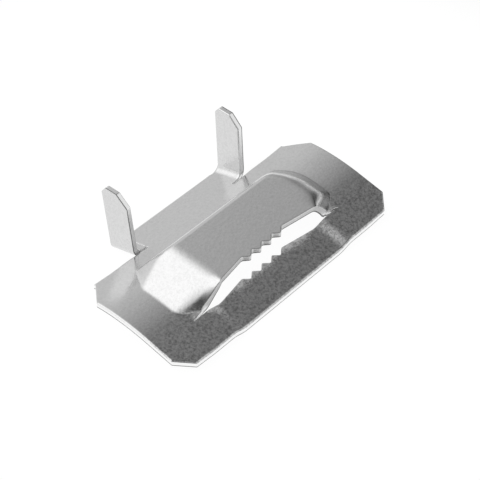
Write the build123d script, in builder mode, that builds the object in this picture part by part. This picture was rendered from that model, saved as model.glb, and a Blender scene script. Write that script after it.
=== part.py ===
from build123d import *
from math import asin, cos, radians, sin, sqrt, tan
import os

# Strapping buckle with two folding ears, for a 3/4 inch steel band.
# One sheet is blanked, cut through along a toothed line, and pressed.
# X runs across the band, Y from the front bar to the ears, and Z up. Millimetres.
# While it is drawn, Y = 0 is the cut and Z = 0 is the crest of the plate's arch.

# The sheet and the band it is made for
sheet = 0.8
band_width = 19.05
band_play = 0.95

# The blank, seen from above
wing_length = 5.7
bar_depth = 4.55
panel_depth = 13.25
strip_depth = 4.43
front_corner_length = 2.25
front_corner_width = 2.1
rear_corner_length = 2.6
rear_corner_width = 3.1
corner_step = 0.3

# The arch of the plate, seen from its end, and the slight curl of its two ends
arch_crest = 7.55
arch_front_radius = 30.0
arch_rear_radius = 21.5
arch_straight = 1.75
end_lift = 0.4

# The bridge that the band passes under
bridge_height_front = 2.39
bridge_height_ridge = 2.93
bridge_inset = 0.325
bridge_widening = 0.75
side_run = 6.0
side_run_lip = 2.9
side_run_root = 2.15
ridge_to_landing = 2.2
landing_to_edge = 1.95
lip_depth = 1.6
bend_top = 0.8
bend_foot = 0.35
bend_ridge = 0.8
bend_landing = 0.9

# The cut under the bridge and its teeth
slit_tail = 2.0
slit_gap = 0.12
draw_in = 0.2
tooth_count = 4
tooth_pitch = 1.95
tooth_depth = 0.75
tooth_row_middle = -0.4

# The front bar, pressed down in the middle by the width of the band
bar_drop = 0.52
bar_shoulder = 1.9
bar_bend = 0.8

# The two ears, which rise from the ends of the strip behind the bridge
ear_height = 9.1
ear_width = 4.2
ear_bend = 1.0
ear_lean = 2.0
ear_rake = 7.5
ear_slit = 0.17
ear_front_chamfer_length = 1.55
ear_front_chamfer_height = 1.5
ear_rear_chamfer_length = 0.75
ear_rear_chamfer_height = 0.85

# The top edges, which the punch draws down and the tumbling breaks
edge_roll = 0.2

# How far a cutting shape runs past the metal
margin = 1.0


def hinge(u, soft):
    """Zero before u = 0 and u after it, with the corner rounded over a length of soft each way."""
    if u <= -soft:
        return 0.0
    if u >= soft:
        return u
    return (u + soft) ** 2 / (4 * soft)


def ramp(u, start, end, soft_start, soft_end):
    """Climbs from 0 at start to 1 at end, with both corners rounded."""
    return (hinge(u - start, soft_start) - hinge(u - end, soft_end)) / (end - start)


def arc_fall(distance, radius):
    """How far a circle falls below its crest at this distance along."""
    return radius - sqrt(radius ** 2 - distance ** 2)


# Slopes of the plate at the cut and at its rear edge, where the straight parts begin
arch_slope = asin((arch_crest - arch_straight) / arch_front_radius)
strip_slope = asin((panel_depth - arch_crest) / arch_rear_radius)


def arch(y):
    """Top face of the plate: straight at both ends, with two arcs that meet at the crest."""
    if y > panel_depth:
        return arch(panel_depth) - (y - panel_depth) * tan(strip_slope)
    if y > arch_crest:
        return -arc_fall(y - arch_crest, arch_rear_radius)
    if y > arch_straight:
        return -arc_fall(arch_crest - y, arch_front_radius)
    start = -arc_fall(arch_crest - arch_straight, arch_front_radius)
    return start - (arch_straight - y) * tan(arch_slope)


# The strip lies as low as it must for its rear edge to stand level with the front bar
strip_end = panel_depth + strip_depth
bar_bottom = arch(-bar_depth) - (bar_drop + sheet) / cos(arch_slope)
seat_drop = arch(strip_end) - sheet / cos(strip_slope) - bar_bottom
seat = arch(panel_depth) - seat_drop

# Half-widths, counted out from the middle of the band
bar_half = band_width / 2
bridge_half = bar_half - bridge_inset
foot_half = bridge_half + side_run
foot_half_root = bridge_half + side_run_root
lip_half = bridge_half + side_run_lip
slit_half = lip_half + slit_tail
half_length = foot_half + wing_length
ear_gap_half = bar_half + band_play / 2

# Where the bridge begins to fall, and where it lands on the level of the strip
landing = panel_depth - landing_to_edge
ridge = landing - ridge_to_landing


def rise(y):
    """Height of the flat-topped bridge over the arch, which falls at the rear to just under it."""
    level = bridge_height_front + (bridge_height_ridge - bridge_height_front) * y / ridge
    fall = ramp(y, ridge, landing, bend_ridge, bend_landing)
    return (level - arch(y)) * (1 - fall) - seat_drop * fall


def slope_top(y):
    """Half-width of the flat top of the bridge, which widens to the roots of the ears."""
    return bridge_half + bridge_widening * hinge(y - ridge, bend_ridge) / (panel_depth - ridge)


def slope_foot(y):
    """Half-width where the side slopes meet the plate, pinched in at the cut and at the ears."""
    lip = (foot_half - lip_half) / lip_depth
    root = (foot_half - foot_half_root) / (panel_depth - arch_crest)
    pinch = lip * hinge(lip_depth - y, bend_foot) + root * hinge(y - arch_crest, bend_foot)
    return foot_half - pinch


def plate(x, y):
    """Top face of the plate without the bridge."""
    return arch(y) + end_lift * hinge(x - foot_half, bend_top) / (half_length - foot_half)


def top(x, y):
    """Top face of the pressed sheet behind the cut."""
    side = ramp(x, slope_top(y), slope_foot(y), bend_top, bend_foot)
    return plate(x, y) + rise(y) * (1 - side)


def slopes(x, y):
    """How steeply the top face climbs along X and along Y."""
    step = 0.01
    along_x = (top(x + step, y) - top(abs(x - step), y)) / (2 * step)
    along_y = (top(x, y + step) - top(x, y - step)) / (2 * step)
    return along_x, along_y


def bottom(x, y):
    """Bottom face: the top face moved in along its own normal by the thickness of the sheet."""
    source_x, source_y = x, y
    round_count = 24
    for _ in range(round_count):
        along_x, along_y = slopes(source_x, source_y)
        length = sqrt(1 + along_x ** 2 + along_y ** 2)
        source_x = (source_x + x - sheet * along_x / length) / 2
        source_y = (source_y + y - sheet * along_y / length) / 2
    return top(source_x, source_y) - sheet / length


def steps(*stretches):
    """Places along a line: each stretch is (start, end, how many spaces)."""
    places = [stretches[0][0]]
    for start, end, spaces in stretches:
        places += [start + (end - start) * (i + 1) / spaces for i in range(spaces)]
    return places


# Every cross-section has its points at the same places, so that the lofts run smoothly
across = steps(
    (0, lip_depth + bend_foot, 6),
    (lip_depth + bend_foot, ridge - bend_ridge, 3),
    (ridge - bend_ridge, ridge + bend_ridge, 5),
    (ridge + bend_ridge, landing - bend_landing, 2),
    (landing - bend_landing, panel_depth, 5),
)
shares = [y / panel_depth for y in across]


def panel_section(x, with_front=False, with_strip=False):
    """One cross-section of the sheet on a plane across X, with the metal before or behind it."""
    above = [Vector(y, top(x, y)) for y in across]
    below = [Vector(y, bottom(x, y)) for y in across]
    front = [above[0], below[0]]
    rear = [above[-1], below[-1]]
    if with_front:
        level = plate(x, -bar_depth)
        under = level - sheet / cos(arch_slope)
        front[1:1] = [Vector(-bar_depth, level), Vector(-bar_depth, under)]
    if with_strip:
        level = arch(strip_end) - seat_drop
        under = level - sheet / cos(strip_slope)
        rear[1:1] = [Vector(strip_end, level), Vector(strip_end, under)]
    with BuildSketch(Plane.YZ.offset(x)) as section:
        with BuildLine():
            add(Edge.make_spline(above, parameters=shares))
            add(Edge.make_spline(below, parameters=shares))
            Polyline(front)
            Polyline(rear)
        make_face()
    return section.sketch


def on_plate(edge):
    """True for an edge that lies in the top face of the plate."""
    return all(abs(v.Z - plate(v.X, v.Y)) < sheet / 8 for v in edge.vertices())


def in_outline(edge):
    """True for an edge along the front, the end or one of the two cut corners of a wing."""
    place = edge.center()
    front = place.Y < -bar_depth + front_corner_width
    return front or place.X > half_length - rear_corner_length


def in_bar_front(edge):
    """True for an edge of the bar that runs along its front in the top face."""
    places = [bar_plane.to_local_coords(edge.position_at(share)) for share in (0, 0.5, 1)]
    drawn = all(bar_line.distance_to(Vector(place.X, place.Y)) < sheet / 8 for place in places)
    return drawn and edge.center().Y < -bar_depth / 2


def cut_line(pull, gap):
    """Points of the toothed cut from left to right. The edge lies back by pull, its ends by gap."""
    row_start = tooth_row_middle - tooth_count * tooth_pitch / 2
    points = [(-slit_half, gap), (-lip_half, gap), (-bridge_half, pull)]
    for i in range(tooth_count):
        points.append((row_start + i * tooth_pitch, tooth_depth + pull))
        points.append((row_start + (i + 0.5) * tooth_pitch, pull))
    points.append((row_start + tooth_count * tooth_pitch, tooth_depth + pull))
    return points + [(bridge_half, pull), (lip_half, gap), (slit_half, gap)]


# The bridge: a flat middle that runs on into the strip, and two side slopes.
# Its front edge is cut back to the teeth.
tall = ear_height + bridge_height_ridge
flat_half = bridge_half - bend_top
middle_section = panel_section(flat_half, with_strip=True)
slope_sections = [panel_section(x) for x in steps((flat_half, slit_half, 16))]
with BuildPart() as bridge:
    extrude(middle_section, amount=-flat_half)
    loft(slope_sections)
    mirror(about=Plane.YZ)
    with BuildSketch():
        with BuildLine():
            front = [(slit_half, -margin), (-slit_half, -margin)]
            Polyline(cut_line(draw_in, slit_gap) + front, close=True)
        make_face()
    extrude(amount=tall, both=True, mode=Mode.SUBTRACT)

# The two wings, which run from the ends of the cut to the ends of the plate
wing_sections = [panel_section(x, with_front=True) for x in steps((slit_half, half_length, 16))]
with BuildPart() as wings:
    loft(wing_sections)
    with BuildSketch():
        with BuildLine():
            Polyline(
                (half_length - rear_corner_length, panel_depth + margin),
                (half_length - rear_corner_length, panel_depth - corner_step),
                (half_length, panel_depth - rear_corner_width),
                (half_length + margin, panel_depth - rear_corner_width),
                (half_length + margin, panel_depth + margin),
                close=True,
            )
        make_face()
        with BuildLine():
            Polyline(
                (half_length - front_corner_length, -bar_depth - margin),
                (half_length - front_corner_length, -bar_depth),
                (half_length, -bar_depth + front_corner_width),
                (half_length + margin, -bar_depth + front_corner_width),
                (half_length + margin, -bar_depth - margin),
                close=True,
            )
        make_face()
    extrude(amount=tall, both=True, mode=Mode.SUBTRACT)
    chamfer([edge for edge in wings.edges() if on_plate(edge) and in_outline(edge)], length=edge_roll)
    mirror(about=Plane.YZ)

# The front bar: a bent profile pushed along the slope of the plate, then cut to the teeth
bar_start = tooth_depth + margin
bar_plane = Plane(
    (0, bar_start, arch(0) + bar_start * tan(arch_slope)),
    x_dir=(1, 0, 0),
    z_dir=(0, -cos(arch_slope), -sin(arch_slope)),
)
with BuildPart() as bar:
    with BuildSketch(bar_plane):
        with BuildLine():
            bar_line = FilletPolyline(
                (-slit_half, 0),
                (-bar_half - bar_shoulder, 0),
                (-bar_half, -bar_drop),
                (bar_half, -bar_drop),
                (bar_half + bar_shoulder, 0),
                (slit_half, 0),
                radius=bar_bend,
            )
            offset(amount=sheet, side=Side.RIGHT)
        make_face()
    extrude(amount=(bar_start + bar_depth + margin) / cos(arch_slope))
    with BuildSketch():
        with BuildLine():
            Polyline(cut_line(0, 0) + [(slit_half, -bar_depth), (-slit_half, -bar_depth)], close=True)
        make_face()
    extrude(amount=tall, both=True, mode=Mode.INTERSECT)
    chamfer([edge for edge in bar.edges() if in_bar_front(edge)], length=edge_roll)

# The ears: the ends of the strip, bent up and cut to the side view of an ear
ear_top = seat + ear_height
ear_spread = 2 * ear_height * tan(radians(ear_lean))
ear_start = panel_depth + ear_slit
knee = seat + (strip_end - ear_start - ear_width) / tan(radians(ear_rake))
ear_plane = Plane(
    (0, panel_depth - strip_depth * cos(strip_slope), seat + strip_depth * sin(strip_slope)),
    x_dir=(1, 0, 0),
    z_dir=(0, cos(strip_slope), -sin(strip_slope)),
)


def ear_front(z):
    """Front edge of an ear in the side view, which leans back."""
    return ear_start + (z - seat) * tan(radians(ear_rake))


with BuildPart() as ears:
    with BuildSketch(ear_plane):
        with BuildLine():
            FilletPolyline(
                (flat_half, 0),
                (ear_gap_half, 0),
                (ear_gap_half + ear_spread, -2 * ear_height),
                radius=ear_bend,
            )
            offset(amount=sheet, side=Side.LEFT)
        make_face()
    extrude(amount=4 * strip_depth)
    with BuildSketch(Plane.YZ):
        with BuildLine():
            front_shoulder = ear_top - ear_front_chamfer_height
            rear_shoulder = ear_top - ear_rear_chamfer_height
            Polyline(
                (ear_start, seat - ear_height),
                (ear_start, seat),
                (ear_front(front_shoulder), front_shoulder),
                (ear_front(ear_top) + ear_front_chamfer_length, ear_top),
                (ear_front(ear_top) + ear_width - ear_rear_chamfer_length, ear_top),
                (ear_front(rear_shoulder) + ear_width, rear_shoulder),
                (strip_end, knee),
                (strip_end, seat - ear_height),
                close=True,
            )
        make_face()
    extrude(amount=half_length, mode=Mode.INTERSECT)
    mirror(about=Plane.YZ)

# The whole buckle, stood on its lowest edges with its middle over the origin
with BuildPart() as buckle:
    add(bridge.part)
    add(wings.part)
    add(bar.part)
    add(ears.part)
box = buckle.part.bounding_box()
buckle.part = Pos(-box.center().X, -box.center().Y, -box.min.Z) * buckle.part
buckle.part.label = "buckle"

os.makedirs("parts", exist_ok=True)
export_step(buckle.part, "parts/buckle.step")
print("buckle", buckle.part.is_valid, len(buckle.part.solids()), round(buckle.part.volume, 2), box)
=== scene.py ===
# %% [markdown]
# # A strapping buckle, pressed from one stainless sheet
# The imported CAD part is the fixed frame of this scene. Everything here is in metres and in
# the same place as the part, so that nothing has to be fitted by hand. The looks are built
# around it in steps: the fine sheet with its rolled edges, the steel, the light and the camera.

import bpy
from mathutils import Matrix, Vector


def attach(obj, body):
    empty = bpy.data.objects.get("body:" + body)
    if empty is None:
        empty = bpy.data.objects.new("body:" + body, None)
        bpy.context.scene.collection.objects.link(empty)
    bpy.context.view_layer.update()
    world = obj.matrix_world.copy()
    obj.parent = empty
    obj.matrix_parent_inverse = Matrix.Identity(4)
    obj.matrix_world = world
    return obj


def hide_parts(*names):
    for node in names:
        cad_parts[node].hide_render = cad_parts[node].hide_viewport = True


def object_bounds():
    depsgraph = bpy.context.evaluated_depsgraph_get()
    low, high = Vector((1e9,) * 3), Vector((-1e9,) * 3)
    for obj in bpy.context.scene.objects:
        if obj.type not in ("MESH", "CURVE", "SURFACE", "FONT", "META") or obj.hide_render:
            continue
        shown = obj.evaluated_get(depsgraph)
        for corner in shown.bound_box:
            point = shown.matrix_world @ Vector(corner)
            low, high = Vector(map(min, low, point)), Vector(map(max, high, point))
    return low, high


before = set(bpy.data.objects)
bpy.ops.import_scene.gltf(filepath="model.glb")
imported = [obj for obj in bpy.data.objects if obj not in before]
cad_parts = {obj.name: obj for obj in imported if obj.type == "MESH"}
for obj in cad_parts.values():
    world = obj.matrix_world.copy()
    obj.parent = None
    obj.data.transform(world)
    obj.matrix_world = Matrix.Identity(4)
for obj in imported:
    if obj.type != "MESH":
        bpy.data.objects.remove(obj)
cad_low, cad_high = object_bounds()
print("CAD box in mm:", [round(1000 * v, 3) for v in (*cad_low, *cad_high)])

# %% Tools
from math import cos, radians, sin, tan

import bpy
import numpy as np
from mathutils import Quaternion, Vector
from mathutils.geometry import delaunay_2d_cdt

MM = 0.001
print("lengths below are in millimetres, and one is", MM, "of Blender's metres")

# %% [markdown]
# ## The sizes of the buckle
# The real buckle is blanked from 0.8 mm sheet and pressed, so that its form follows from a few
# sizes. The first ones are those of the CAD source. The last ones are read from the photograph
# and refine it: where the ridge of the bridge really shows, how the right flank is bowed, and how
# softly the faces meet. Copying the CAD mesh would be quicker, but it is too coarse for a metal
# that shows every flat. While the sheet is worked out, Y = 0 is the toothed cut and Z = 0 is the
# crest of the arch.

# %% Sizes in millimetres
sheet = 0.8
band_width = 19.05
ear_gap_half = 10.0

wing_length = 5.7
bar_depth = 4.55
panel_depth = 13.25
strip_depth = 4.43
front_corner = (2.25, 2.1)
rear_corner = (2.6, 3.1)
corner_step = 0.3

arch_crest, arch_straight, end_lift = 7.55, 1.75, 0.4
arch_front_radius, arch_rear_radius = 30.0, 21.5

bridge_height_front, bridge_height_ridge = 2.39, 2.93
bridge_inset = 0.325
side_run, side_run_lip, side_run_root = 6.0, 2.9, 2.15
ridge_to_landing, landing_to_edge, lip_depth = 2.2, 1.95, 1.9
bend_top, bend_ridge, bend_landing = 0.8, 0.8, 0.9

slit_tail, slit_gap, draw_in = 2.0, 0.35, 0.2
tooth_count, tooth_pitch, tooth_depth, tooth_row_middle = 4, 1.95, 0.75, -0.4
bar_drop, bar_shoulder, bar_bend = 0.52, 1.9, 0.6

ear_height, ear_width, ear_bend, ear_slit = 9.1, 4.2, 1.0, 0.17
ear_lean, ear_rake = radians(2.0), radians(7.5)
ear_front_chamfer = (1.55, 1.5)
ear_rear_chamfer = (0.75, 0.85)

# %% Finer sizes, read from the photograph
ridge_edge, fall_run, flank_corner = 8.65, 2.3, 7.75
right_side, right_side_soft = (6.0, 9.0), 0.5
right_bow, right_widening, right_hip_softer = 0.5, 1.0, 0.7
widening_depth, widening_soft = 2.5, (0.3, 1.0)
lip_start, lip_lift, lip_soft = 0.1, 0.35, (0.1, 0.8)
strip_margin = 0.6

# How much the height is rounded off where two faces meet: on the top face, and on the inner side
# of the bend, where metal always bends more widely.
top_soft = 0.4
crisp_bends = {"hip": 0.18, "ridge": 0.8, "foot": 0.12}
inner_bends = {"hip": 0.8, "ridge": 1.35, "foot": 0.35}
print("ridge", ridge_edge, "mm behind the cut, right flank wider by", right_widening, "mm")

# %% Places that follow from the sizes
arch_slope = np.arcsin((arch_crest - arch_straight) / arch_front_radius)
strip_slope = np.arcsin((panel_depth - arch_crest) / arch_rear_radius)
bar_half = band_width / 2
bridge_half = bar_half - bridge_inset
foot_half = bridge_half + side_run
foot_half_root = bridge_half + side_run_root
lip_half = bridge_half + side_run_lip
slit_half = lip_half + slit_tail
half_length = foot_half + wing_length
flat_half = bridge_half - bend_top
landing = panel_depth - landing_to_edge
ridge = landing - ridge_to_landing
strip_end = panel_depth + strip_depth
ear_start = panel_depth + ear_slit
print("half of the length:", half_length, "and of the slit:", slit_half)

# %% [markdown]
# ## The pressed form as a height over the plan
# A press pushes a flat blank up and down, and so the sheet can be described by its height at
# each place of the plan. Corners in metal are never sharp: a hinge function bends from one
# slope into the next over a short length. A sculpted mesh could copy the form by eye, but this
# way keeps it exactly where the CAD has it and can be made as fine as the light needs.

# %% Bends along a line


def hinge(u, soft):
    """Zero before u = 0 and u after it, with the corner rounded over a length of soft each way."""
    near = np.clip(u, -soft, soft)
    return np.where(u > soft, u, (near + soft) ** 2 / (4 * soft))


def ramp(u, start, end, soft_start, soft_end):
    """Climbs from 0 at start to 1 at end, with both corners rounded."""
    return (hinge(u - start, soft_start) - hinge(u - end, soft_end)) / (end - start)


def lower_of(a, b, soft):
    """The lower of two heights, with the ridge between them rounded."""
    near = np.maximum(soft - np.abs(a - b), 0)
    return np.minimum(a, b) - near ** 2 / (4 * soft)


print("a bend of 0.5 mm softness is", hinge(0.0, 0.5), "mm high at its corner")

# %% The arched plate


def arc_fall(distance, radius):
    """How far a circle falls below its crest at this distance along."""
    return radius - np.sqrt(radius ** 2 - distance ** 2)


def arch(y):
    """Top face of the plate: straight at both ends, with two arcs that meet at the crest."""
    rear = np.clip(y, arch_crest, panel_depth) - arch_crest
    front = arch_crest - np.clip(y, arch_straight, arch_crest)
    behind = np.maximum(y - panel_depth, 0) * tan(strip_slope)
    before = np.maximum(arch_straight - y, 0) * tan(arch_slope)
    return -arc_fall(rear, arch_rear_radius) - arc_fall(front, arch_front_radius) - behind - before


bar_bottom = arch(-bar_depth) - (bar_drop + sheet) / cos(arch_slope)
seat_drop = arch(strip_end) - sheet / cos(strip_slope) - bar_bottom
seat = arch(panel_depth) - seat_drop
print("seat of the strip", round(float(seat), 4), "lowest edge", round(float(bar_bottom), 4))

# %% [markdown]
# ## The bridge
# The real bridge is drawn up by a punch: a flat top that rises to the ears, two flanks, a hip
# between each flank and the root of the ear, and a short fall to the strip. Each is nearly a flat
# face. So the bridge is the lowest of these faces at each place, with every meeting rounded, and
# the plate is whatever stands higher than the bridge there. Modelling it with a bevel on a box
# would give the same bend everywhere, and here the bends differ.

# %% The bridge


def over_line(x, y, start, end):
    """Distance of a place from a line in the plan, counted to the left of its direction."""
    ahead = np.subtract(end, start) / np.hypot(*np.subtract(end, start))
    return ahead[0] * (y - start[1]) - ahead[1] * (x - start[0])


def bridge_top(y):
    """Height of the flat top of the bridge over the plate."""
    level = bridge_height_front + (bridge_height_ridge - bridge_height_front) * y / ridge
    return level - arch(y)


def flank_height(x, y, level):
    """Height of the side slope over the plate. The right one is wider at its top and bowed."""
    out = np.abs(x)
    right = ramp(x, *right_side, right_side_soft, right_side_soft)
    foot = foot_half - (foot_half - lip_half) * (1 - ramp(y, lip_start, lip_depth, *lip_soft))
    edge = bridge_half + right * right_widening * ramp(y, 0, widening_depth, *widening_soft)
    down = (out - edge) / (foot - edge)
    bow = right_bow * right
    return level * (1 - (1 - bow) * down - bow * np.maximum(down, 0) ** 2)


def hip_height(x, y):
    """Height of the face between the side slope and the root of the ear."""
    corner, root = (foot_half, flank_corner), (foot_half_root, panel_depth)
    across = over_line(np.abs(x), y, corner, root)
    return across * bridge_top(ridge) / over_line(bridge_half, ridge, corner, root)


def panel_face(x, y, bends=crisp_bends):
    """Top face of the sheet behind the cut."""
    out = np.abs(x)
    right = ramp(x, *right_side, right_side_soft, right_side_soft)
    plate = arch(y) + end_lift * hinge(out - foot_half, bend_top) / wing_length
    level = bridge_top(y)
    fall = level - (y - ridge_edge) * (level + seat_drop) / fall_run
    body = lower_of(level, flank_height(x, y, level), top_soft)
    body = lower_of(body, fall, bends["ridge"])
    body = lower_of(body, hip_height(x, y), bends["hip"] + right * right_hip_softer)
    strip = 1 - ramp(out, flat_half, foot_half_root + strip_margin, bend_top, bend_top)
    ground = -seat_drop * strip * ramp(y, ridge, landing, bend_ridge, bend_landing)
    beside_lip = np.clip((slit_half - out) / slit_tail, 0, 1) * np.clip(1 - y / lip_depth, 0, 1) ** 2
    return plate - lower_of(-body, -ground - lip_lift * beside_lip, bends["foot"])


def soft_panel_face(x, y):
    """The same face with the wider bends that the inner side of a bend has."""
    return panel_face(x, y, inner_bends)


print("top of the bridge over the plate at the ridge:", round(float(bridge_top(ridge_edge)), 3))

# %% The front bar and the underside


def bar_face(x, y):
    """Top face of the front bar, pressed down in the middle."""
    dip = 1 - ramp(np.abs(x), bar_half, bar_half + bar_shoulder, bar_bend, bar_bend)
    return arch(y) - dip * bar_drop / cos(arch_slope)


def slopes(face, x, y, step=0.01):
    """How steeply a face climbs along X and along Y."""
    along_x = (face(x + step, y) - face(x - step, y)) / (2 * step)
    along_y = (face(x, y + step) - face(x, y - step)) / (2 * step)
    return along_x, along_y


def underside(face, x, y):
    """The face moved in along its own normal by the thickness of the sheet."""
    source_x, source_y = x.copy(), y.copy()
    for _ in range(24):
        along_x, along_y = slopes(face, source_x, source_y)
        length = np.sqrt(1 + along_x ** 2 + along_y ** 2)
        source_x = (source_x + x - sheet * along_x / length) / 2
        source_y = (source_y + y - sheet * along_y / length) / 2
    return face(source_x, source_y) - sheet / length


print("middle of the bar below the plate:", round(float(arch(0) - bar_face(0, 0)), 3))

# %% [markdown]
# ## The blank
# Before it is bent, the buckle is one flat piece with a toothed cut and two tabs that become the
# ears. The mesh starts from that blank: one outline, one hole, and one set of triangles. Each
# point of the blank is then carried to its place in the pressed sheet, and an ear is the part of
# the blank that the bend carries upwards. So the metal stays in one piece, as it does in the press.

# %% The bend of an ear
bend_turn = radians(90) - ear_lean
bend_tangent = ear_bend * tan(bend_turn / 2)
bend_start = ear_gap_half - bend_tangent - flat_half
bend_end = bend_start + ear_bend * bend_turn
bend_height = ear_bend * (1 - cos(bend_turn))

# The ears lean forward against the strip. On the blank they are skewed straight, clear of the wings.
rake_slope = tan(ear_rake)
ear_skew = cos(strip_slope) * (sin(strip_slope) - rake_slope * cos(strip_slope)) / (
    cos(strip_slope) + rake_slope * sin(strip_slope))


def ear_profile(run):
    """Place across, height and turn of the strip after this length along it from flat_half."""
    turn = np.clip((run - bend_start) / ear_bend, 0, bend_turn)
    straight = np.maximum(run - bend_end, 0)
    out = flat_half + np.minimum(run, bend_start) + ear_bend * np.sin(turn) + straight * sin(ear_lean)
    height = ear_bend * (1 - np.cos(turn)) + straight * cos(ear_lean)
    return out, height, turn


def ear_place(x, height, along):
    """A point of the ear from its place across, its height off the strip and its place along it."""
    y = panel_depth + height * sin(strip_slope) + along * cos(strip_slope)
    z = seat + height * cos(strip_slope) - along * sin(strip_slope)
    return np.stack([x, y, z], -1)


def on_blank(y, z):
    """Where a point of the ear's side view lies on the blank, for points above the bend."""
    height = (y - panel_depth) * sin(strip_slope) + (z - seat) * cos(strip_slope)
    along = (y - panel_depth) * cos(strip_slope) - (z - seat) * sin(strip_slope)
    run = bend_end + (height - bend_height) / cos(ear_lean)
    return flat_half + run, panel_depth + along * cos(strip_slope) + ear_skew * height


def bend_edge(edge_y, turns):
    """Points of the blank along the front or rear edge of an ear through its bend."""
    points = []
    for turn in turns:
        height = ear_bend * (1 - cos(turn))
        for rake in (0.0, rake_slope):
            reach = edge_y - panel_depth + height * (rake * cos(strip_slope) - sin(strip_slope))
            along = reach / (cos(strip_slope) + rake * sin(strip_slope))
            if height * cos(strip_slope) - along * sin(strip_slope) <= 0:
                break
        level = panel_depth + along * cos(strip_slope) + ear_skew * height
        points.append((flat_half + bend_start + ear_bend * turn, level))
    return points


print("length of sheet in the bend of an ear:", round(ear_bend * bend_turn, 3))

# %% The outline of the blank
ear_top = seat + ear_height


def ear_front(z):
    """Front edge of an ear in the side view, which leans back."""
    return ear_start + (z - seat) * rake_slope


bend_turns = [bend_turn * i / 8 for i in range(9)]
front_shoulder = ear_top - ear_front_chamfer[1]
rear_shoulder = ear_top - ear_rear_chamfer[1]
right_half = [
    (half_length - front_corner[0], -bar_depth),
    (half_length, -bar_depth + front_corner[1]),
    (half_length, panel_depth - rear_corner[1]),
    (half_length - rear_corner[0], panel_depth - corner_step),
    (half_length - rear_corner[0], panel_depth),
    (flat_half, panel_depth),
    (flat_half, ear_start),
    *bend_edge(ear_start, bend_turns),
    on_blank(ear_front(front_shoulder), front_shoulder),
    on_blank(ear_front(ear_top) + ear_front_chamfer[0], ear_top),
    on_blank(ear_front(ear_top) + ear_width - ear_rear_chamfer[0], ear_top),
    on_blank(ear_front(rear_shoulder) + ear_width, rear_shoulder),
    *reversed(bend_edge(ear_start + ear_width, bend_turns)),
    (flat_half, strip_end),
]
outline = right_half + [(-a, b) for a, b in reversed(right_half)]
print("corners of the blank:", len(outline))

# %% The toothed cut
tip_share = 1 / 15


def cut_line(pull, gap):
    """The toothed cut from left to right. The edge lies back by pull, its ends by gap."""
    row_start = tooth_row_middle - tooth_count * tooth_pitch / 2
    points = [(-slit_half, gap * tip_share), (-lip_half, gap), (-bridge_half, pull)]
    for i in range(tooth_count):
        points.append((row_start + i * tooth_pitch, tooth_depth + pull))
        points.append((row_start + (i + 0.5) * tooth_pitch, pull))
    points.append((row_start + tooth_count * tooth_pitch, tooth_depth + pull))
    return points + [(bridge_half, pull), (lip_half, gap), (slit_half, gap * tip_share)]


bridge_edge, bar_edge = cut_line(draw_in, slit_gap), cut_line(0, 0)
slit = bridge_edge + bar_edge[::-1]
print("corners of the slit:", len(slit))

# %% [markdown]
# ## Points on the blank
# Light shows every flaw in polished metal, so that the mesh has to be finest where the metal turns
# quickest: in rows along every edge, and across the bends. Elsewhere it can be coarser. A regular
# grid would leave steps along the slanted edges, and a boolean would leave long thin faces.

# %% Outlines with small corner radii
corner_radius, tooth_radius = 0.12, 0.22
edge_spacing = 0.17


def rounded(corners, radius):
    """The closed outline with each corner cut by a small arc."""
    points = np.array(corners, float)
    made = []
    for before, here, after in zip(np.roll(points, 1, 0), points, np.roll(points, -1, 0)):
        back, ahead = before - here, after - here
        reach = min(radius, 0.35 * np.linalg.norm(back), 0.35 * np.linalg.norm(ahead))
        back, ahead = back / np.linalg.norm(back), ahead / np.linalg.norm(ahead)
        if np.dot(back, ahead) < -0.995:
            made.append(here)
            continue
        start, end = here + back * reach, here + ahead * reach
        for share in np.linspace(0, 1, 5):
            made.append((1 - share) ** 2 * start + 2 * share * (1 - share) * here + share ** 2 * end)
    return np.array(made)


def sampled(points, spacing):
    """The closed outline with extra points, and the direction in which the metal lies at each."""
    places, inward = [], []
    ahead = np.roll(points, -1, 0) - points
    length = np.linalg.norm(ahead, axis=1, keepdims=True)
    normal = np.stack([-ahead[:, 1], ahead[:, 0]], -1) / length
    for i in range(len(points)):
        count = max(1, int(np.ceil(length[i, 0] / spacing)))
        corner = normal[i] + normal[i - 1]
        for k in range(count):
            places.append(points[i] + ahead[i] * k / count)
            inward.append(corner / np.linalg.norm(corner) if k == 0 else normal[i])
    return np.array(places), np.array(inward)


def turned_left(points):
    """The outline in the order that keeps the metal on its left."""
    following = np.roll(points, -1, 0)
    area = np.sum(points[:, 0] * following[:, 1] - following[:, 0] * points[:, 1])
    return points if area > 0 else points[::-1]


outer_loop = turned_left(rounded(outline, corner_radius))
slit_loop = turned_left(rounded(slit, tooth_radius))[::-1]
loops = [outer_loop, slit_loop]
outer_segments, slit_segments = [np.stack([p, np.roll(p, -1, 0)], 1) for p in loops]
segments = np.concatenate([outer_segments, slit_segments])
print("points on the outline:", len(outer_loop), "and on the slit:", len(slit_loop))

# %% Distance from an edge, and inside or outside


def edge_distance(points, edges=segments):
    """Distance of each point from the nearest edge of the blank."""
    nearest = np.full(len(points), 1e9)
    for start, end in edges:
        ahead = end - start
        share = np.clip((points - start) @ ahead / (ahead @ ahead), 0, 1)
        gap = np.linalg.norm(points - start - share[:, None] * ahead, axis=1)
        nearest = np.minimum(nearest, gap)
    return nearest


def in_metal(points):
    """True for the points that lie inside the outline and outside the slit."""
    crossings = np.zeros(len(points), int)
    for start, end in segments:
        spans = (start[1] > points[:, 1]) != (end[1] > points[:, 1])
        height = end[1] - start[1] if end[1] != start[1] else 1.0
        crosses_at = start[0] + (points[:, 1] - start[1]) * (end[0] - start[0]) / height
        crossings += spans & (points[:, 0] < crosses_at)
    return crossings % 2 == 1


print("middle of the bar lies in the metal:", in_metal(np.array([[0.0, -bar_depth / 2]]))[0])

# %% Where each point of the blank lies in the pressed sheet


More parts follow.
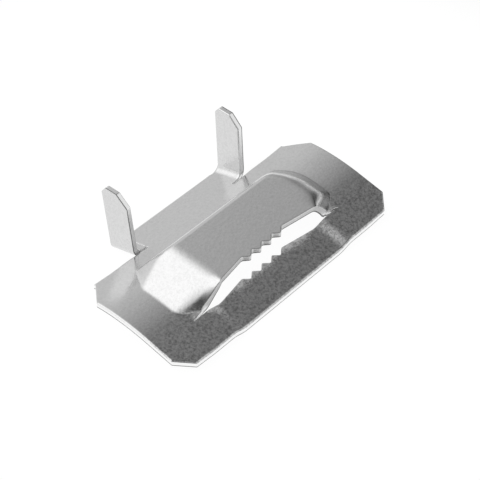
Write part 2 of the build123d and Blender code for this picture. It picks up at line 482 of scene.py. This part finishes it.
def in_bar_part(blank):
    """True for points of the front bar, before the toothed cut."""
    a, b = blank[:, 0], blank[:, 1]
    cut_middle = (np.interp(a, *np.transpose(bridge_edge)) + np.interp(a, *np.transpose(bar_edge))) / 2
    return (np.abs(a) < slit_half) & (b < cut_middle)


def pressed(blank):
    """Top and bottom points of the sheet over each point of the blank, in drawing millimetres."""
    a, b = blank[:, 0], blank[:, 1]
    in_ear = (np.abs(a) > flat_half) & (b > panel_depth + ear_slit / 2)
    in_bar = in_bar_part(blank)
    over = np.stack([a, b, np.where(in_bar, bar_face(a, b), panel_face(a, b))], -1)
    below = over.copy()
    below[in_bar, 2] = underside(bar_face, a[in_bar], b[in_bar])
    below[~in_bar, 2] = underside(soft_panel_face, a[~in_bar], b[~in_bar])
    side = np.sign(a[in_ear])
    out, height, turn = ear_profile(np.abs(a[in_ear]) - flat_half)
    along = (b[in_ear] - panel_depth - ear_skew * height) / cos(strip_slope)
    over[in_ear] = ear_place(side * out, height, along)
    level = along + sheet * np.cos(turn) * tan(strip_slope)
    outside = side * (out + sheet * np.sin(turn))
    below[in_ear] = ear_place(outside, height - sheet * np.cos(turn), level)
    return over, below


def unit(vectors):
    return vectors / np.maximum(np.linalg.norm(vectors, axis=-1, keepdims=True), 1e-12)


def face_normals(blank, step=0.01):
    """Normals of the top face and of the bottom face, before the edges are rolled."""
    east, west = pressed(blank + [step, 0]), pressed(blank - [step, 0])
    north, south = pressed(blank + [0, step]), pressed(blank - [0, step])
    over = unit(np.cross(east[0] - west[0], north[0] - south[0]))
    below = unit(np.cross(north[1] - south[1], east[1] - west[1]))
    return over, below


left_tip = pressed(np.array([[-half_length + 0.5, arch_crest]]))[0][0]
print("a point near the left end of the plate:", left_tip.round(3))

# %% [markdown]
# ## Rolled edges
# When a punch shears sheet metal, it first drags the surface down with it. The top face ends in a
# soft roll, then comes a straight sheared wall, and the far side keeps a nearly sharp edge. That
# roll catches a bright line of light all round the real buckle. Both are a quarter of an ellipse.

# %% Rolled edges
roll_width, roll_depth = 0.30, 0.15
burr_width, burr_depth = 0.05, 0.04
bridge_roll = 0.45
bar_roll = 0.15
roll_angles = np.radians([0, 22, 40, 56, 70, 81, 90])
rows = roll_width * (1 - np.sin(roll_angles))


def rolled(distance, width, depth):
    """How deep the surface lies at this distance from the edge, and its lean out and up there."""
    width, depth = np.broadcast_to(width, distance.shape), np.broadcast_to(depth, distance.shape)
    out = np.clip(1 - distance / width, 0, 1)
    up = np.sqrt(1 - out ** 2)
    lean = unit(np.stack([depth * out, width * up], -1))
    return depth * (1 - up), lean


print("rows of points beside an edge, in mm from it:", rows.round(3))

# %% Scatter the points
fine_spacing, coarse_spacing = 0.18, 0.36
fine_clearance, coarse_clearance = roll_width + 0.1, roll_width + 0.15
row_tolerance = 0.97
candidates = []
for loop in loops:
    places, inward = sampled(loop, edge_spacing)
    for row in rows[:-1]:
        moved = places + inward * row
        candidates.append(moved[edge_distance(moved) > row_tolerance * row])


def honeycomb(spacing):
    """A field of points with equal gaps that covers the blank."""
    low, high = outer_loop.min(0), outer_loop.max(0)
    xs = np.arange(low[0], high[0], spacing)
    ys = np.arange(low[1], high[1], spacing * sin(radians(60)))
    field = np.stack(np.meshgrid(xs, ys), -1).astype(float)
    field[1::2, :, 0] += spacing / 2
    points = field.reshape(-1, 2)
    return points[in_metal(points)]


def bends_quickly(points, reach=0.17, limit=0.035):
    """True where the normal of the sheet turns by more than the limit over a short reach."""
    a = face_normals(points + [reach, 0])[0] - face_normals(points - [reach, 0])[0]
    b = face_normals(points + [0, reach])[0] - face_normals(points - [0, reach])[0]
    return np.linalg.norm(a, axis=1) + np.linalg.norm(b, axis=1) > limit


fine, coarse = honeycomb(fine_spacing), honeycomb(coarse_spacing)
fine = fine[edge_distance(fine) > fine_clearance]
fine = fine[bends_quickly(fine)]
coarse = coarse[edge_distance(coarse) > coarse_clearance]
coarse = coarse[~bends_quickly(coarse)]
inner = np.concatenate([*candidates, fine, coarse])
print("points in the rows:", sum(map(len, candidates)), "fine:", len(fine), "coarse:", len(coarse))

# %% Join the points into triangles
border = [sampled(loop, edge_spacing)[0] for loop in loops]
points = np.concatenate([*border, inner])
fixed_edges, start = [], 0
for loop_points in border:
    count = len(loop_points)
    fixed_edges += [(start + i, start + (i + 1) % count) for i in range(count)]
    start += count
result = delaunay_2d_cdt([Vector(p) for p in points], fixed_edges, [], 0, 1e-7, False)
blank = np.array([tuple(p) for p in result[0]])
triangles = np.array([t for t in result[2] if len(t) == 3])
triangles = triangles[in_metal(blank[triangles].mean(1))]
corner = blank[triangles]
spin = np.cross(corner[:, 1] - corner[:, 0], corner[:, 2] - corner[:, 0])
triangles[spin < 0] = triangles[spin < 0][:, ::-1]
print("points:", len(blank), "triangles on one side:", len(triangles))

# %% [markdown]
# ## Into the press
# Each point now gets its place on the top face and on the bottom face, and the two are joined by a
# wall along the rim. A solidify modifier would do this in one step, but it offsets every point
# along an averaged normal, so that the sheet would grow thin in the tight bends. The normals are
# worked out from the form itself, because a mirror finish shows every small error in them.

# %% Carry the blank into the press
distance = edge_distance(blank)
over, below = pressed(blank)
over_normal, below_normal = face_normals(blank)
through = below - over
thickness = np.linalg.norm(through, axis=1, keepdims=True)

edge_use = {}
for t in triangles:
    for i, j in ((t[0], t[1]), (t[1], t[2]), (t[2], t[0])):
        edge_use.setdefault((min(i, j), max(i, j)), []).append((int(i), int(j)))
rim_edges = [use[0] for use in edge_use.values() if len(use) == 1]
rim = sorted({i for edge in rim_edges for i in edge})
print("edges on the rim:", len(rim_edges))

# %% Which way is out at each point
step = 0.004
slope_a = edge_distance(blank + [step, 0]) - edge_distance(blank - [step, 0])
slope_b = edge_distance(blank + [0, step]) - edge_distance(blank - [0, step])
outward_blank = -unit(np.stack([slope_a, slope_b], -1))
rim_out = np.zeros((len(blank), 2))
for i, j in rim_edges:
    ahead = blank[j] - blank[i]
    rim_out[[i, j]] += np.array([ahead[1], -ahead[0]]) / np.linalg.norm(ahead)
outward_blank[rim] = unit(rim_out[rim])
outward = unit(pressed(blank + outward_blank * step)[0] - pressed(blank - outward_blank * step)[0])
outward = unit(outward - np.sum(outward * unit(through), -1, keepdims=True) * unit(through))
print("thickness between the faces:", thickness.min().round(3), "to", thickness.max().round(3))

# %% Roll the edges
to_slit = edge_distance(blank, slit_segments)
beside_slit = (to_slit < 1.5 * roll_width) & (to_slit <= distance + 1e-9)
roll_size = np.where(beside_slit, np.where(in_bar_part(blank), bar_roll, bridge_roll), 1.0)
depth, lean = rolled(distance, roll_width * roll_size, roll_depth * roll_size)
top_points = over + through / thickness * depth[:, None]
top_normals = unit(outward * lean[:, :1] + over_normal * lean[:, 1:])
depth, lean = rolled(distance, burr_width, burr_depth)
bottom_points = below - through / thickness * depth[:, None]
bottom_normals = unit(outward * lean[:, :1] + below_normal * lean[:, 1:])
print("points beside the slit:", int(beside_slit.sum()))

# %% Points and faces of the mesh
count = len(blank)
wall_shares = (0.4, 0.8)
wall_points = [
    top_points[rim] + (bottom_points[rim] - top_points[rim]) * share for share in wall_shares
]
vertices = np.concatenate([top_points, bottom_points, *wall_points])
normals = np.concatenate([top_normals, bottom_normals, *([outward[rim]] * len(wall_shares))])
place_in_rim = {point: k for k, point in enumerate(rim)}
faces = triangles.tolist() + (triangles[:, ::-1] + count).tolist()
sheet_faces = len(faces)
for i, j in rim_edges:
    near, far = [[p] + [2 * count + n * len(rim) + place_in_rim[p] for n in range(len(wall_shares))]
                 + [p + count] for p in (i, j)]
    for k in range(len(wall_shares) + 1):
        faces.append([far[k], near[k], near[k + 1], far[k + 1]])
print("points:", len(vertices), "faces:", len(faces))

# %% Build the mesh
shift = np.array([0, cad_low[1] / MM + bar_depth, cad_low[2] / MM - bar_bottom])
mesh = bpy.data.meshes.new("pressed_sheet")
mesh.from_pydata(((vertices + shift) * MM).tolist(), [], faces)
mesh.update()
mesh.polygons.foreach_set("use_smooth", [True] * len(faces))
# The upper rows of the wall take the near white painted highlight, the lowest row the dark grey painted
# contact shade.
wall_rows = [1] * len(wall_shares) + [2]
mesh.polygons.foreach_set("material_index", [0] * sheet_faces + wall_rows * len(rim_edges))
mesh.normals_split_custom_set_from_vertices(normals.tolist())
buckle = bpy.data.objects.new("pressed_sheet", mesh)
bpy.context.scene.collection.objects.link(buckle)
print("box of the sheet in mm:", (vertices + shift).min(0).round(3), (vertices + shift).max(0).round(3))

# %% [markdown]
# ## Stainless steel
# The buckle is cold rolled stainless sheet that was blanked, pressed and tumbled. Such a face is a
# metal mirror that is blurred by a fine grain: bright and even where it looks at a bright wall,
# and mottled where it looks at the edge of something dark. Towards its low front the colour of the
# sheet is painted darker in small specks: painted shade where the bar looks at the dim side of the
# room, with a speckled tone over it. A photograph of such metal laid on as a texture would carry the
# reflections of another room, so that the finish is made of noise with real sizes: a grain of
# 0.36 mm, specks of 0.4 mm and clouds of 2.4 mm.

# %% Material helpers


def linear(hex_colour):
    """An sRGB hex colour as the linear colour that a shader wants."""
    values = [int(hex_colour[i:i + 2], 16) / 255 for i in (1, 3, 5)]
    return [v / 12.92 if v <= 0.04045 else ((v + 0.055) / 1.055) ** 2.4 for v in values] + [1.0]


def add_node(tree, kind, settings=None, **links):
    """Adds a node, sets its properties and sockets, and links sockets to other nodes' outputs."""
    node = tree.nodes.new(kind)
    for name, value in (settings or {}).items():
        if hasattr(node, name):
            setattr(node, name, value)
        else:
            node.inputs[name].default_value = value
    for name, source in links.items():
        tree.links.new(source, node.inputs[name.replace("_", " ")])
    return node


def new_material(name):
    material = bpy.data.materials.new(name)
    material.use_nodes = True
    material.node_tree.nodes.clear()
    return material, material.node_tree


print("the steel's grey in linear light:", round(linear("#D3D3D3")[0], 3))

# %% The grain of rolled and tumbled stainless sheet
# The eye gets a soft grey mirror from it, with a faint orange peel where a reflection changes.
steel, tree = new_material("tumbled_stainless_sheet_with_painted_shade")
place = add_node(tree, "ShaderNodeTexCoord").outputs["Object"]
grain_size, grain_height, cloud_size = 0.36 * MM, 0.014 * MM, 2.4 * MM
grain = add_node(tree, "ShaderNodeTexNoise",
                 {"Scale": 1 / grain_size, "Detail": 4.0, "Roughness": 0.6}, Vector=place)
clouds = add_node(tree, "ShaderNodeTexNoise",
                  {"Scale": 1 / cloud_size, "Detail": 3.0, "Roughness": 0.5}, Vector=place)
bump = add_node(tree, "ShaderNodeBump", {"Strength": 1.0, "Distance": grain_height},
                Height=grain.outputs["Fac"])
gloss = add_node(tree, "ShaderNodeMapRange", {"To Min": 0.14, "To Max": 0.24},
                 Value=clouds.outputs["Fac"])
print("grain, clouds in mm:", round(grain_size / MM, 2), round(cloud_size / MM, 2))

# %% The specks and the painted shade that darken the low front of the sheet
# Its last number weighs height against depth, so that the bridge above the front stays free of the
# painted shade.
speckle_size, low_front_axis = 0.4 * MM, (0, 1, 4)
low_front_full, low_front_end = 2.5 * MM, 8.5 * MM
speckle = add_node(tree, "ShaderNodeTexNoise",
                   {"Scale": 1 / speckle_size, "Detail": 4.0, "Roughness": 0.85}, Vector=place)
low_front = add_node(tree, "ShaderNodeVectorMath", {"operation": "DOT_PRODUCT"})
tree.links.new(place, low_front.inputs[0])
low_front.inputs[1].default_value = low_front_axis
# Painted shade: the base colour is darkened towards the low front, where the bar looks at the dim side
# of the room.
painted_low_front_shade = add_node(tree, "ShaderNodeMapRange", {
    "From Min": low_front_full, "From Max": low_front_end, "To Min": 0.48, "To Max": 0.97},
    Value=low_front.outputs["Value"])
# Speckled tone on the steel, strongest where it lies within the painted shade of the low front.
speckled_tone_and_painted_shade = add_node(tree, "ShaderNodeMapRange", {
    "From Min": 0.38, "From Max": 0.56, "To Max": 1.06},
    Value=speckle.outputs["Fac"], To_Min=painted_low_front_shade.outputs["Result"])
tint = add_node(tree, "ShaderNodeVectorMath", {"operation": "SCALE"}, Scale=speckled_tone_and_painted_shade.outputs["Result"])
tint.inputs[0].default_value = linear("#D3D3D3")[:3]
shader = add_node(tree, "ShaderNodeBsdfPrincipled", {"Metallic": 1.0},
                  Base_Color=tint.outputs["Vector"],
                  Roughness=gloss.outputs["Result"], Normal=bump.outputs["Normal"])
add_node(tree, "ShaderNodeOutputMaterial", Surface=shader.outputs["BSDF"])
mesh.materials.append(steel)
print("specks in mm:", round(speckle_size / MM, 2))

# %% The cut edge
# The punch first burnishes the wall that it cuts, and then the metal tears along the lowest part.
# Both are painted light: the burnished wall is painted near white as a highlight, brighter than the
# steel, and the torn lowest part is painted dark grey as the contact shade where the sheet meets
# the table, over the duller torn metal.
# Painted highlight on the burnished wall and painted contact shade on its lowest row.
cut_edge_finishes_and_painted_light = {"burnished_cut_edge_painted_highlight": ("#F6F6F6", 0.3), "torn_cut_edge_painted_contact_shade": ("#8C8C8C", 0.55)}
for name, (colour, roughness) in cut_edge_finishes_and_painted_light.items():
    edge_metal, tree = new_material(name)
    shader = add_node(tree, "ShaderNodeBsdfPrincipled",
                      {"Base Color": linear(colour), "Metallic": 1.0, "Roughness": roughness})
    add_node(tree, "ShaderNodeOutputMaterial", Surface=shader.outputs["BSDF"])
    mesh.materials.append(edge_metal)
print("finishes on the sheet:", [material.name for material in mesh.materials])

# %% Stand for the CAD part
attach(buckle, "root")
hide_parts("buckle")
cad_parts["buckle"].data.materials.clear()
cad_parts["buckle"].data.materials.append(steel)
print("the fine sheet stands for the CAD node buckle")

# %% [markdown]
# ## Floor and light
# The buckle lies on white, in the soft light of a small studio. Polished metal shows what
# stands round it far more than it shows its own colour: the left slope of the bridge is white
# because it looks at the panel overhead, and the bar is dark because it looks at the dim side of
# the room. Lamps alone would leave hard spots, and so the room is a world of a few broad soft
# lobes, each with a direction, a size and a brightness.

# %% The studio room
# Each lobe: azimuth from the rear towards the right, elevation, radius and softness in degrees,
# and how much brighter it is than the wall.
wall_level, darkest = 0.935, 0.02
lobes = {
    "panel_overhead_at_the_left": (-62, 49, 34, 36, 0.89),
    "dim_side_at_the_right": (125, 37, 33, 44, -1.33),
    "reflector_front_right": (143, 28, 24, 28, 1.48),
    "dark_behind_the_camera": (-130, 7, 40, 3, -0.72),
    "pale_wall_at_the_rear": (78, 41, 17, 22, 0.48),
    "dim_skirting_at_the_rear": (64, 0, 14, 20, -0.26),
}
print("lobes in the room:", len(lobes))

# %% The room as a world
world = bpy.data.worlds.new("studio_room")
bpy.context.scene.world = world
world.use_nodes = True
room = world.node_tree
room.nodes.clear()
look = add_node(room, "ShaderNodeTexCoord").outputs["Generated"]
level = None
for name, (lobe_azimuth, lobe_elevation, radius, softness, extra) in lobes.items():
    turn, lift = radians(lobe_azimuth), radians(lobe_elevation)
    axis = (sin(turn) * cos(lift), cos(turn) * cos(lift), sin(lift))
    toward = add_node(room, "ShaderNodeVectorMath", {"operation": "DOT_PRODUCT"})
    room.links.new(look, toward.inputs[0])
    toward.inputs[1].default_value = axis
    lobe = add_node(room, "ShaderNodeMapRange", {
        "interpolation_type": "SMOOTHSTEP",
        "From Min": cos(radians(radius + softness)), "From Max": cos(radians(max(radius - softness, 0))),
        "To Min": 0.0, "To Max": extra}, Value=toward.outputs["Value"])
    total = add_node(room, "ShaderNodeMath", {"operation": "ADD"})
    room.links.new(lobe.outputs["Result"], total.inputs[0])
    if level is None:
        total.inputs[1].default_value = wall_level
    else:
        room.links.new(level, total.inputs[1])
    level = total.outputs["Value"]
floor_of_light = add_node(room, "ShaderNodeMath", {"operation": "MAXIMUM"})
room.links.new(level, floor_of_light.inputs[0])
floor_of_light.inputs[1].default_value = darkest
sky = add_node(room, "ShaderNodeBackground", Strength=floor_of_light.outputs["Value"])
add_node(room, "ShaderNodeOutputWorld", Surface=sky.outputs["Background"])
print("nodes in the room:", len(room.nodes))

# %% [markdown]
# ## The table
# The buckle lies on a white table. A plain white floor would turn grey in this soft room, because
# it only gets as much light as the walls send. So the light of the table is painted in: it glows
# itself and stays pale under the buckle, where its shadow would fall, and the glow fades away from
# the middle as a painted pool of light.

# %% Floor
floor_half = 600 * MM
pool_radius, pool_end = 55 * MM, 140 * MM
painted_pool_glow, painted_rim_glow = 0.93, 0.35
floor_mesh = bpy.data.meshes.new("floor")
corners = [(-1, -1), (1, -1), (1, 1), (-1, 1)]
floor_mesh.from_pydata([(x * floor_half, y * floor_half, 0) for x, y in corners], [], [(0, 1, 2, 3)])
floor = bpy.data.objects.new("floor", floor_mesh)
bpy.context.scene.collection.objects.link(floor)
floor_paint, tree = new_material("white_floor_with_painted_glow")
place = add_node(tree, "ShaderNodeTexCoord").outputs["Object"]
reach = add_node(tree, "ShaderNodeVectorMath", {"operation": "LENGTH"})
tree.links.new(place, reach.inputs[0])
# Painted light: the floor glows by itself, brightest in a painted pool round the buckle, so that no
# shadow shows under it.
glow = add_node(tree, "ShaderNodeMapRange", {
    "interpolation_type": "SMOOTHSTEP", "From Min": pool_radius, "From Max": pool_end,
    "To Min": painted_pool_glow, "To Max": painted_rim_glow}, Value=reach.outputs["Value"])
shader = add_node(tree, "ShaderNodeBsdfPrincipled",
                  {"Base Color": linear("#5A5A5A"), "Roughness": 0.9, "Specular IOR Level": 0.0,
                   "Emission Color": linear("#FFFFFF")})
tree.links.new(glow.outputs["Result"], shader.inputs["Emission Strength"])
add_node(tree, "ShaderNodeOutputMaterial", Surface=shader.outputs["BSDF"])
floor_mesh.materials.append(floor_paint)
print("floor in mm:", round(2 * floor_half / MM))

# %% [markdown]
# ## The camera
# The photograph was taken from the left front and from above, with a long lens. Its place and lens
# were worked out from the corners of the buckle, whose places in space are known. Placing it by
# eye would leave the proportions a little off, and then no edge would match.

# %% Camera
camera_distance = 223.842 * MM
camera_data = bpy.data.cameras.new("camera")
camera = bpy.data.objects.new("camera", camera_data)
bpy.context.scene.collection.objects.link(camera)
azimuth, elevation, roll = radians(-51.0226), radians(43.9198), radians(2.9120)
target = Vector((0.0249, -2.2116, 2.9403)) * MM
toward_camera = Vector((sin(azimuth) * cos(elevation), -cos(azimuth) * cos(elevation), sin(elevation)))
camera.location = target + toward_camera * camera_distance
level = toward_camera.to_track_quat("Z", "Y")
camera.rotation_mode = "QUATERNION"
camera.rotation_quaternion = level @ Quaternion((0, 0, 1), roll)
camera_data.sensor_width = 36
camera_data.lens = 130.1056
camera_data.clip_start, camera_data.clip_end = 0.01, 10
bpy.context.scene.camera = camera
bpy.context.scene.view_settings.view_transform = "Standard"
print("camera at", [round(v / MM, 1) for v in camera.location], "mm")
